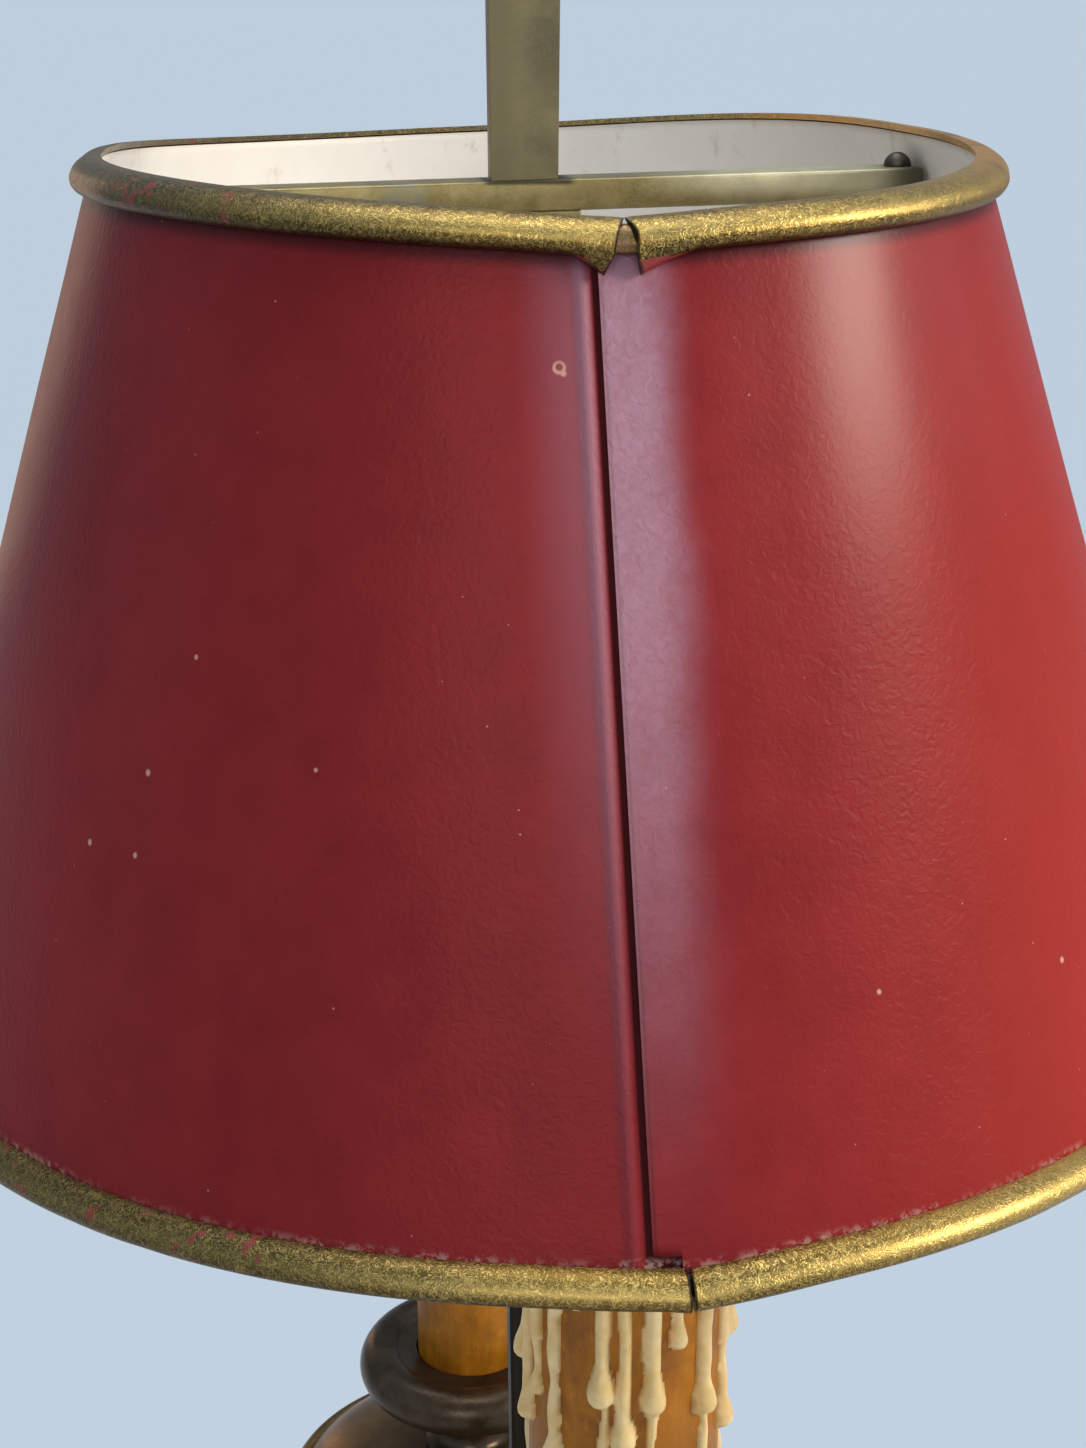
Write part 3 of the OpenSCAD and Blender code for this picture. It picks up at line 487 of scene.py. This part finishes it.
SPUN_AT = 10


def swept(section, steps):
    """A closed section of (outward, down) points in mm, spun through half a turn, to be laid along a rim."""
    bm = bmesh.new()
    verts = [bm.verts.new((SPUN_AT + out, 0.0, down)) for out, down in section]
    edges = [bm.edges.new((a, b)) for a, b in zip(verts, verts[1:] + verts[:1])]
    bmesh.ops.spin(bm, geom=verts + edges, cent=(0, 0, 0), axis=(0, 0, 1), angle=math.pi, steps=steps,
                   use_merge=False)
    bmesh.ops.holes_fill(bm, edges=[e for e in bm.edges if e.is_boundary], sides=0)
    return bm


def unspun(v):
    """Where a vertex of a swept shape is: its share of the way round, and how far outward and down in mm."""
    share = min(1.0, abs(math.atan2(v.co.y, v.co.x)) / math.pi)
    return share, math.hypot(v.co.x, v.co.y) - SPUN_AT, v.co.z


def lathe(outline, steps, middle):
    """A closed outline of (radius, height) in mm, spun a full turn about a standing axis at that y in mm."""
    bm = bmesh.new()
    verts = [bm.verts.new((r * MM, 0.0, z * MM)) for r, z in outline]
    edges = [bm.edges.new((a, b)) for a, b in zip(verts, verts[1:])]
    bmesh.ops.spin(bm, geom=verts + edges, cent=(0, 0, 0), axis=(0, 0, 1), angle=2 * math.pi,
                   steps=steps, use_merge=True)
    bmesh.ops.remove_doubles(bm, verts=bm.verts, dist=1e-6)
    bmesh.ops.recalc_face_normals(bm, faces=bm.faces)
    bmesh.ops.translate(bm, verts=bm.verts, vec=(0.0, middle * MM, 0.0))
    return bm


def outward(bm, middle):
    """Turns every face away from a standing axis if more of them face it."""
    bm.normal_update()
    score = sum(f.calc_area() * f.normal.dot(f.calc_center_median() - Vector(middle)) for f in bm.faces)
    if score < 0:
        bmesh.ops.reverse_faces(bm, faces=bm.faces)


# The shade

def crowded(s):
    """A share from 0 to 1, moved so that even steps of it crowd together at both ends."""
    return s - 0.93 / (2 * math.pi) * math.sin(2 * math.pi * s)


def make_shade_sheet(paint, enamel):
    bm = grid(420, 88)
    uv = bm.loops.layers.uv.new("sheet")
    spots = {}
    for v in bm.verts:
        u = crowded(v.co.x)
        turn = (360 + LAP_TURN) * u
        mm = turn * MM_PER_DEGREE
        left = (360 - turn) * MM_PER_DEGREE
        notch = turn < LAP_TURN * 0.5
        low = (SHADE_H - BEAD_H - 1.3 if notch else SHADE_H - EDGE_IN) / SHADE_H
        high = EDGE_IN / SHADE_H
        f = low + (high - low) * v.co.y
        t = NEAR_END - SEAM_TURN + turn - SEAM_SKEW * f
        out = layer_lift(turn)
        out += 0.5 * hump(left, 2.1, 0.75) - 0.25 * hump(mm, 0, 0.35)
        dent = noise.noise(Vector((t / 26, f * 2.2, 3.1))) - 0.5
        out += 0.35 * min(0.0, dent) * smooth_step(f, 0.06, 0.2) * smooth_step(1 - f, 0.05, 0.2)
        spots[v] = (mm, f)
        v.co = shade_point(t, f, out)
    for face in bm.faces:
        for loop in face.loops:
            loop[uv].uv = spots[loop.vert]
    outward(bm, (0, 0, 0.43))
    piece = keep(bm, "shade_sheet", "shade", [paint, enamel], "shade_wall", sharp=60)
    wall = piece.modifiers.new("wall", "SOLIDIFY")
    wall.thickness = SHEET * MM
    wall.offset = -1.0
    wall.material_offset = 1
    wall.material_offset_rim = 0
    return piece


def bead_section(lip):
    depth = BEAD_D - 0.01
    arc = [(BEAD_GAP + depth * math.cos(math.radians(a)), BEAD_H / 2 + BEAD_H / 2 * math.sin(math.radians(a)))
           for a in range(84, -85, -12)]
    return ([(BEAD_GAP, BEAD_H)] + arc + [(BEAD_GAP, 0.0), (-SHEET - lip, 0.0),
            (-SHEET - lip, EDGE_IN - 0.1), (BEAD_GAP, EDGE_IN - 0.1)])


# The top bead's ends are turned down beside its split: how deep, and how long on the left and on the right
SKIRT_DEEP = 2.4
SKIRT_LEFT = 6.0
SKIRT_RIGHT = 8.0
OPENED_LENGTH = 9


def make_bead(name, node, middle_x, gap, at_low, finish):
    """A half-round bead folded over a rim, from one side of its split to the other."""
    bm = swept(bead_section(0.5), 460)
    half = LOW[1] if at_low else TOP[1]
    breadth, power = (LOW[0], LOW_POWER) if at_low else (TOP[0], TOP_POWER)
    start = NEAR_END + turn_at(middle_x + gap / 2, breadth, power)
    span = 360 + turn_at(middle_x - gap / 2, breadth, power) - turn_at(middle_x + gap / 2, breadth, power)
    uv = bm.loops.layers.uv.new("bead")
    spots = {}
    for v in bm.verts:
        share, out, down = unspun(v)
        share = crowded(share)
        t = start + span * share
        x = breadth * signed_power(math.sin(math.radians(t - NEAR_END)), 2 / power)
        from_end = abs(x - middle_x) - gap / 2 if math.sin(math.radians(t)) < -0.97 else 99.0
        side = 1 if share < 0.5 else -1
        if at_low:
            out += 0.5 * hump(from_end, 0, 2.0) * (1 if side < 0 else 0.3) * smooth_step(out, 0, 1)
        elif out > -0.3:
            length = SKIRT_RIGHT if side > 0 else SKIRT_LEFT
            skirt = SKIRT_DEEP * max(0.0, 1 - from_end / length) ** 1.5
            down += skirt * smooth_step(down, BEAD_H * 0.5, BEAD_H)
            if from_end < OPENED_LENGTH:
                opened = 1.3 * (1 - math.exp(-1.2 * down)) + smooth_step(down, 3.9, BEAD_H + SKIRT_DEEP) - gap / 2
                pull = smooth_step(OPENED_LENGTH - from_end, 0, OPENED_LENGTH)
                moved = pull * (side * opened - 0.13 * max(0.0, down - 1.5))
                t = NEAR_END + turn_at(x + moved, breadth, power)
        spots[v] = (side * from_end, BEAD_H - down if at_low else down)
        wobble = noise.noise(Vector((t / 4.5, 1.7 if at_low else 5.2, out / 4))) * 0.22
        out += min(0.0, wobble) if out > 0.4 else 0.0
        f = (SHADE_H - down if at_low else down) / SHADE_H
        v.co = shade_point(t, f, out + bead_lift(t, 1 if at_low else 0))
    for face in bm.faces:
        for loop in face.loops:
            loop[uv].uv = spots[loop.vert]
    bmesh.ops.recalc_face_normals(bm, faces=bm.faces)
    return keep(bm, name, "shade", [finish], node, sharp=50)


CORE_LENGTH = 9


def make_bead_core(finish):
    """The wire inside the top bead, which shows where the bead is split."""
    ring = [(0.7 + 1.4 * math.cos(math.radians(a)), 2.6 + 1.9 * math.sin(math.radians(a)))
            for a in range(0, 360, 24)]
    bm = swept(ring, 24)
    for v in bm.verts:
        share, out, down = unspun(v)
        t = NEAR_END + turn_at(TOP_SPLIT + 0.6 + (share - 0.5) * CORE_LENGTH, TOP[0], TOP_POWER)
        v.co = shade_point(t, down / SHADE_H, out + bead_lift(t, 0))
    bmesh.ops.recalc_face_normals(bm, faces=bm.faces)
    return keep(bm, "bead_core", "shade", [finish], sharp=60, slot="bead_brass")


# Wax and candles

NEAR_Y = -109.0
SLEEVE_R = 14.0
SLEEVE_TOP = 382.2
WAX_FOOT = 250.0
# Wax runs, as angle round the candle, height of the tip, half breadth and whether the end swells
RUNS = [
    (174, 336.5, 1.3, 1.5), (187, 328.6, 1.25, 1.5), (199, 334.5, 1.1, 1.35), (216, 324.3, 1.4, 1.6),
    (232, 352, 1.2, 1.4), (248.5, 256, 1.35, 1.5), (247, 337.5, 1.9, 1.3), (259.5, 330.2, 1.5, 1.55),
    (275, 262, 1.3, 1.5), (276, 336.5, 1.8, 1.3), (291, 346, 1.2, 1.4), (311, 333.5, 1.5, 1.5),
    (313, 278, 1.1, 1.5), (338, 327.0, 1.4, 1.5), (346, 341, 1.7, 1.3), (4, 300, 1.3, 1.5),
    (22, 322, 1.5, 1.5), (41, 284, 1.3, 1.5), (60, 340, 1.6, 1.4), (79, 306, 1.3, 1.5), (97, 329, 1.5, 1.5),
    (116, 270, 1.3, 1.5), (134, 334, 1.4, 1.5), (153, 300, 1.4, 1.5)]


# Degrees to each side of a run's middle, past which it has no wax
RUN_SPAN = 16


def wax_height(turn, z):
    """How far the wax stands out from the sleeve at an angle and a height, in mm.

    The fourth powers let runs that meet melt into each other without growing thick."""
    way = Vector((math.cos(math.radians(turn)), math.sin(math.radians(turn)), 0))
    skirt_end = SLEEVE_TOP - 8 + 2.5 * noise.noise(way * 2)
    total = (1.0 * smooth_step(z, skirt_end - 2.5, skirt_end)) ** 4
    for k, (angle, tip, half, swell) in enumerate(RUNS):
        if z < tip:
            continue
        away = (turn - angle + 540) % 360 - 180
        if abs(away) > RUN_SPAN:
            continue
        wander = 0.6 * noise.noise(Vector((k * 3.7, z / 9, 1))) * smooth_step(z - tip, 2, 12)
        across = abs(away * math.pi / 180 * (SLEEVE_R + 0.7) - wander)
        along = z - tip
        bulb = half * swell * 0.86
        neck = half * (0.66 + 0.35 * noise.noise(Vector((k * 1.3, z / 6, 5))))
        if along < bulb:
            w = math.sqrt(max(0.0, bulb ** 2 - (bulb - along) ** 2))
        else:
            w = neck + (bulb - neck) * (1 - smooth_step(along, bulb, bulb * 3.6))
        if across < w:
            total += (1.25 * math.sqrt(w * w - across * across)) ** 4
    return min(2.5, total ** 0.25)


def make_wax(finish):
    """Wax runs as a relief round the sleeve, kept only where there is wax."""
    bm = grid(260, 250)
    bare = []
    for v in bm.verts:
        turn = 360 * v.co.x
        z = WAX_FOOT + (SLEEVE_TOP - 0.05 - WAX_FOOT) * v.co.y
        h = wax_height(turn % 360, z)
        bare.append((v, h < 0.02))
        r = SLEEVE_R - 0.25 + h + (0.25 if h > 0.4 else 0)
        a = math.radians(turn)
        v.co = Vector((r * math.cos(a), NEAR_Y + r * math.sin(a), z)) * MM
    empty = {v for v, is_bare in bare if is_bare}
    bmesh.ops.remove_doubles(bm, verts=bm.verts, dist=1e-6)
    empty = {v for v in empty if v.is_valid}
    gone = [f for f in bm.faces if all(v in empty for v in f.verts)]
    bmesh.ops.delete(bm, geom=gone, context="FACES")
    bmesh.ops.smooth_vert(bm, verts=[v for v in bm.verts if v not in empty], factor=0.5, use_axis_x=True,
                          use_axis_y=True, use_axis_z=True)
    outward(bm, (0, NEAR_Y * MM, 0.316))
    piece = keep(bm, "wax_runs", "lamp", [finish], "wax_drips", sharp=80)
    wall = piece.modifiers.new("wall", "SOLIDIFY")
    wall.thickness = 0.4 * MM
    wall.offset = -1.0
    return piece


def make_sleeve(side, name, node, finish):
    """Candle tube with a softly rounded lip and a slightly uneven skin."""
    low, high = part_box(node)
    middle = -side * NEAR_Y
    foot = low[2] / MM
    top = high[2] / MM
    skin = SLEEVE_R - 0.05
    bore = SLEEVE_R - 1.8
    rings = 60
    outline = [(bore + 0.2, foot), (skin - 0.25, foot), (skin, foot + 0.3)]
    outline += [(skin, foot + (top - foot) * k / rings) for k in range(1, rings)]
    outline += [(skin, top - 0.9), (skin - 0.25, top - 0.3), (skin - 0.75, top), (bore + 0.5, top - 0.1),
                (bore + 0.1, top - 0.6), (bore, top - 3), (bore, foot + 0.3), (bore + 0.2, foot)]
    bm = lathe(outline, 72, middle)
    for v in bm.verts:
        x, y = v.co.x / MM, v.co.y / MM - middle
        r = math.hypot(x, y)
        if r > SLEEVE_R - 1:
            dent = noise.noise(Vector((x / 9, y / 9, v.co.z / MM / 24 + side * 5))) * 0.12 - 0.1
            v.co.x = x * (1 + dent / r) * MM
            v.co.y = (y * (1 + dent / r) + middle) * MM
    return keep(bm, name, "lamp", [finish], node, sharp=50)


# Stage, light and camera

BACKDROP = tone(193, 209, 224)
# The floor lies a hair under the felt, so that the two never share a plane
FLOOR_Z = -0.0003
FLOOR_HALF = 9
CURVE_Y = 2.6
CURVE_R = 1.2
BACKDROP_TOP = 4.5
# How much light the world gives where only its diffuse light counts
FILL = 0.42


def make_stage():
    """A pale floor that curves up into a backdrop."""
    bm = bmesh.new()
    verts = [bm.verts.new(p) for p in ((0, -FLOOR_HALF, FLOOR_Z), (0, CURVE_Y, FLOOR_Z))]
    bm.edges.new(verts)
    got = bmesh.ops.spin(bm, geom=[verts[1]], cent=(0, CURVE_Y, CURVE_R), axis=(1, 0, 0), angle=math.pi / 2,
                         steps=24)
    end = [g for g in got["geom_last"] if isinstance(g, bmesh.types.BMVert)][0]
    top = bm.verts.new((0, end.co.y, BACKDROP_TOP))
    bm.edges.new((end, top))
    out = bmesh.ops.extrude_edge_only(bm, edges=list(bm.edges))
    moved = [g for g in out["geom"] if isinstance(g, bmesh.types.BMVert)]
    bmesh.ops.translate(bm, verts=moved, vec=(2 * FLOOR_HALF, 0, 0))
    bmesh.ops.translate(bm, verts=bm.verts, vec=(-FLOOR_HALF, 0, 0))
    for face in bm.faces:
        face.smooth = True
    mesh = bpy.data.meshes.new("floor")
    bm.to_mesh(mesh)
    bm.free()
    floor = bpy.data.objects.new("floor", mesh)
    bpy.context.scene.collection.objects.link(floor)
    f = Finish("pale_floor")
    shaded = f.node("ShaderNodeBsdfDiffuse", None, {"Color": tone(214, 220, 228)})
    flat = f.node("ShaderNodeEmission", None, {"Color": BACKDROP, "Strength": 1.0})
    seen = f.node("ShaderNodeLightPath", out="Is Camera Ray")
    share = seen * (0.94 - f.near((0, 0, 0), 220) * 0.4)
    mixed = f.node("ShaderNodeMixShader", None, {0: share, 1: shaded, 2: flat})
    f.node_out(mixed)
    mesh.materials.append(f.material)


def make_world():
    world = bpy.data.worlds.new("studio")
    bpy.context.scene.world = world
    world.use_nodes = True
    tree = world.node_tree
    tree.nodes.clear()
    paths = tree.nodes.new("ShaderNodeLightPath")
    shown = tree.nodes.new("ShaderNodeMath")
    shown.operation = "ADD"
    shown.use_clamp = True
    also = tree.nodes.new("ShaderNodeMath")
    also.operation = "ADD"
    tree.links.new(paths.outputs["Is Glossy Ray"], also.inputs[0])
    tree.links.new(paths.outputs["Is Transmission Ray"], also.inputs[1])
    tree.links.new(paths.outputs["Is Camera Ray"], shown.inputs[0])
    tree.links.new(also.outputs[0], shown.inputs[1])
    strength = tree.nodes.new("ShaderNodeMapRange")
    strength.inputs["To Min"].default_value = FILL
    strength.inputs["To Max"].default_value = 1.0
    tree.links.new(shown.outputs[0], strength.inputs["Value"])
    light = tree.nodes.new("ShaderNodeBackground")
    light.inputs["Color"].default_value = BACKDROP
    tree.links.new(strength.outputs["Result"], light.inputs["Strength"])
    end = tree.nodes.new("ShaderNodeOutputWorld")
    tree.links.new(light.outputs[0], end.inputs["Surface"])


def aimed(location, target):
    away = Vector(location) - Vector(target)
    return Matrix.Translation(Vector(location)) @ away.to_track_quat("Z", "Y").to_matrix().to_4x4()


def make_lamp(name, location, target, power, size, color=(1, 1, 1)):
    data = bpy.data.lights.new(name, "AREA")
    data.shape = "RECTANGLE"
    data.size, data.size_y = size
    data.energy = power
    data.color = color
    lamp = bpy.data.objects.new(name, data)
    bpy.context.scene.collection.objects.link(lamp)
    lamp.visible_camera = False
    lamp.matrix_world = aimed(location, target)


# The view of the photograph, fitted to the rims, candles, rod and cup
LENS = 54.0
VIEW_FROM = (-0.04956, -0.37707, 0.5201)
VIEW_AHEAD = (0.13253, 0.94302, -0.30520)
VIEW_RIGHT = (0.99027, -0.13917, 0.0)


def make_camera():
    data = bpy.data.cameras.new("view")
    data.sensor_fit = "AUTO"
    data.sensor_width = 36.0
    data.lens = LENS
    data.clip_start = 0.02
    data.clip_end = 30
    camera = bpy.data.objects.new("view", data)
    bpy.context.scene.collection.objects.link(camera)
    ahead = Vector(VIEW_AHEAD).normalized()
    right = Vector(VIEW_RIGHT).normalized()
    up = right.cross(ahead)
    turn = Matrix((right, up, -ahead)).transposed().to_4x4()
    camera.matrix_world = Matrix.Translation(Vector(VIEW_FROM)) @ turn
    bpy.context.scene.camera = camera


# The lamp

brass = old_brass("aged_brass", tone(74, 58, 28), tone(128, 106, 58), tone(196, 164, 92))
bead_brass = rim_brass("bead_brass")
core_brass = old_brass("core_brass", tone(96, 70, 44), tone(150, 118, 80), tone(206, 178, 130), 0.34, 2.0)
bar_brass = old_brass("bar_brass", tone(116, 102, 58), tone(166, 152, 104), tone(196, 184, 136), 0.4, 2.2,
                      wear=0.25, metallic=0.7, tint=tone(126, 126, 114), painted_bar_light=True)
rod_brass = old_brass("rod_brass", tone(98, 90, 66), tone(130, 120, 86), tone(156, 142, 98), 0.42, 4.0,
                      wear=0.15, metallic=0.7, tint=tone(104, 96, 78), shaded=0.4)
pan_bronze = old_brass("pan_bronze", tone(84, 60, 38), tone(132, 104, 60), tone(168, 136, 86), 0.32, 3.4,
                       wear=0.2, metallic=0.75)
dark_bronze = old_brass("dark_bronze", tone(46, 37, 26), tone(78, 63, 45), tone(124, 102, 74), 0.28, 3.0,
                        wear=0.2, metallic=0.7)
screw_brass = old_brass("screw_brass", tone(120, 98, 50), tone(168, 142, 78), tone(214, 188, 118), 0.28, 2.0)
paint = red_tin()
enamel = white_enamel()
ochre = ochre_sleeve()
wax = candle_wax()
felt = felt_pad()
iron = plain("cast_iron", tone(34, 34, 36), tone(58, 57, 56), 0.62, 3.0, 0.6, 0.3)
solder = plain("solder", tone(52, 48, 40), tone(98, 92, 80), 0.45, 2.0, 0.8, 0.3)
bush = plain("bush_plastic", tone(24, 22, 20), tone(36, 33, 30), 0.4, 1.5)
holder = plain("holder_plastic", tone(28, 24, 20), tone(42, 36, 30), 0.38, 2.0)
cap_metal = plain("cap_metal", tone(150, 148, 140), tone(188, 186, 178), 0.3, 2.0, 1.0, 0.05)
glass = plain("bulb_glass", tone(238, 234, 224), tone(246, 243, 236), 0.22, 6.0, 0.0, 0.02, Coat_Weight=0.6,
              Coat_Roughness=0.05, Subsurface_Weight=0.2, Subsurface_Radius=(0.003, 0.003, 0.003),
              Subsurface_Scale=1.0)
wire = plain("wire", tone(196, 190, 176), tone(214, 208, 196), 0.5, 1.2)

make_shade_sheet(paint, enamel)
make_bead("top_rim_bead", "top_bead", TOP_SPLIT, TOP_GAP, False, bead_brass)
make_bead("low_rim_bead", "bottom_bead", LOW_SPLIT, LOW_GAP, True, bead_brass)
make_bead_core(core_brass)
make_wax(wax)
make_sleeve(-1, "sleeve_near", "candle_sleeve_near", ochre)
make_sleeve(1, "sleeve_far", "candle_sleeve_far", ochre)

for node, finish, edge in (
        ("base_dish", brass, 0), ("base_weight", iron, 0.4), ("base_felt", felt, 0.4), ("base_washer", brass, 0.2),
        ("base_nut", brass, 0.3), ("cord_bush", bush, 0.3), ("tie_tube", brass, 0), ("column_foot", brass, 0),
        ("column_stem", brass, 0), ("column_knop", brass, 0), ("arm_hub", brass, 0), ("rod_cap", brass, 0),
        ("rod_pin", screw_brass, 0.2), ("shade_rod", rod_brass, 0.35), ("rod_finial", brass, 0),
        ("arm_near", dark_bronze, 0), ("arm_far", dark_bronze, 0), ("drip_pan_near", pan_bronze, 0),
        ("drip_pan_far", pan_bronze, 0), ("candle_cup_near", dark_bronze, 0), ("candle_cup_far", dark_bronze, 0),
        ("nipple_near", brass, 0), ("nipple_far", brass, 0), ("pan_nut_near", brass, 0.2),
        ("pan_nut_far", brass, 0.2),
        ("holder_near", holder, 0.3), ("holder_far", holder, 0.3), ("holder_contact_near", cap_metal, 0),
        ("holder_contact_far", cap_metal, 0), ("bulb_glass_near", glass, 0), ("bulb_glass_far", glass, 0),
        ("bulb_cap_near", cap_metal, 0), ("bulb_cap_far", cap_metal, 0), ("inner_wires", wire, 0),
        ("crossbar", bar_brass, 0.7), ("solder_lugs", solder, 0.2), ("slide_collar", bar_brass, 0.5),
        ("thumb_screw", screw_brass, 0.25)):
    smoothed(node, finish, edge)

make_stage()
make_world()
make_lamp("key", (1.45, -0.75, 1.15), (0, 0, 0.45), 26, (0.7, 0.7), (1.0, 0.88, 0.74))
make_lamp("front", (-0.4, -1.9, 1.1), (0, 0, 0.45), 9, (1.2, 0.8), (1.0, 0.92, 0.86))
make_lamp("edge", (-0.75, 1.9, 0.45), (0, 0, 0.43), 1.1, (0.16, 0.8), (1.0, 0.6, 0.34))
make_lamp("top", (0.0, 0.3, 2.2), (0, 0, 0.4), 20, (1.4, 1.2))
make_camera()
bpy.context.scene.view_settings.view_transform = "Standard"
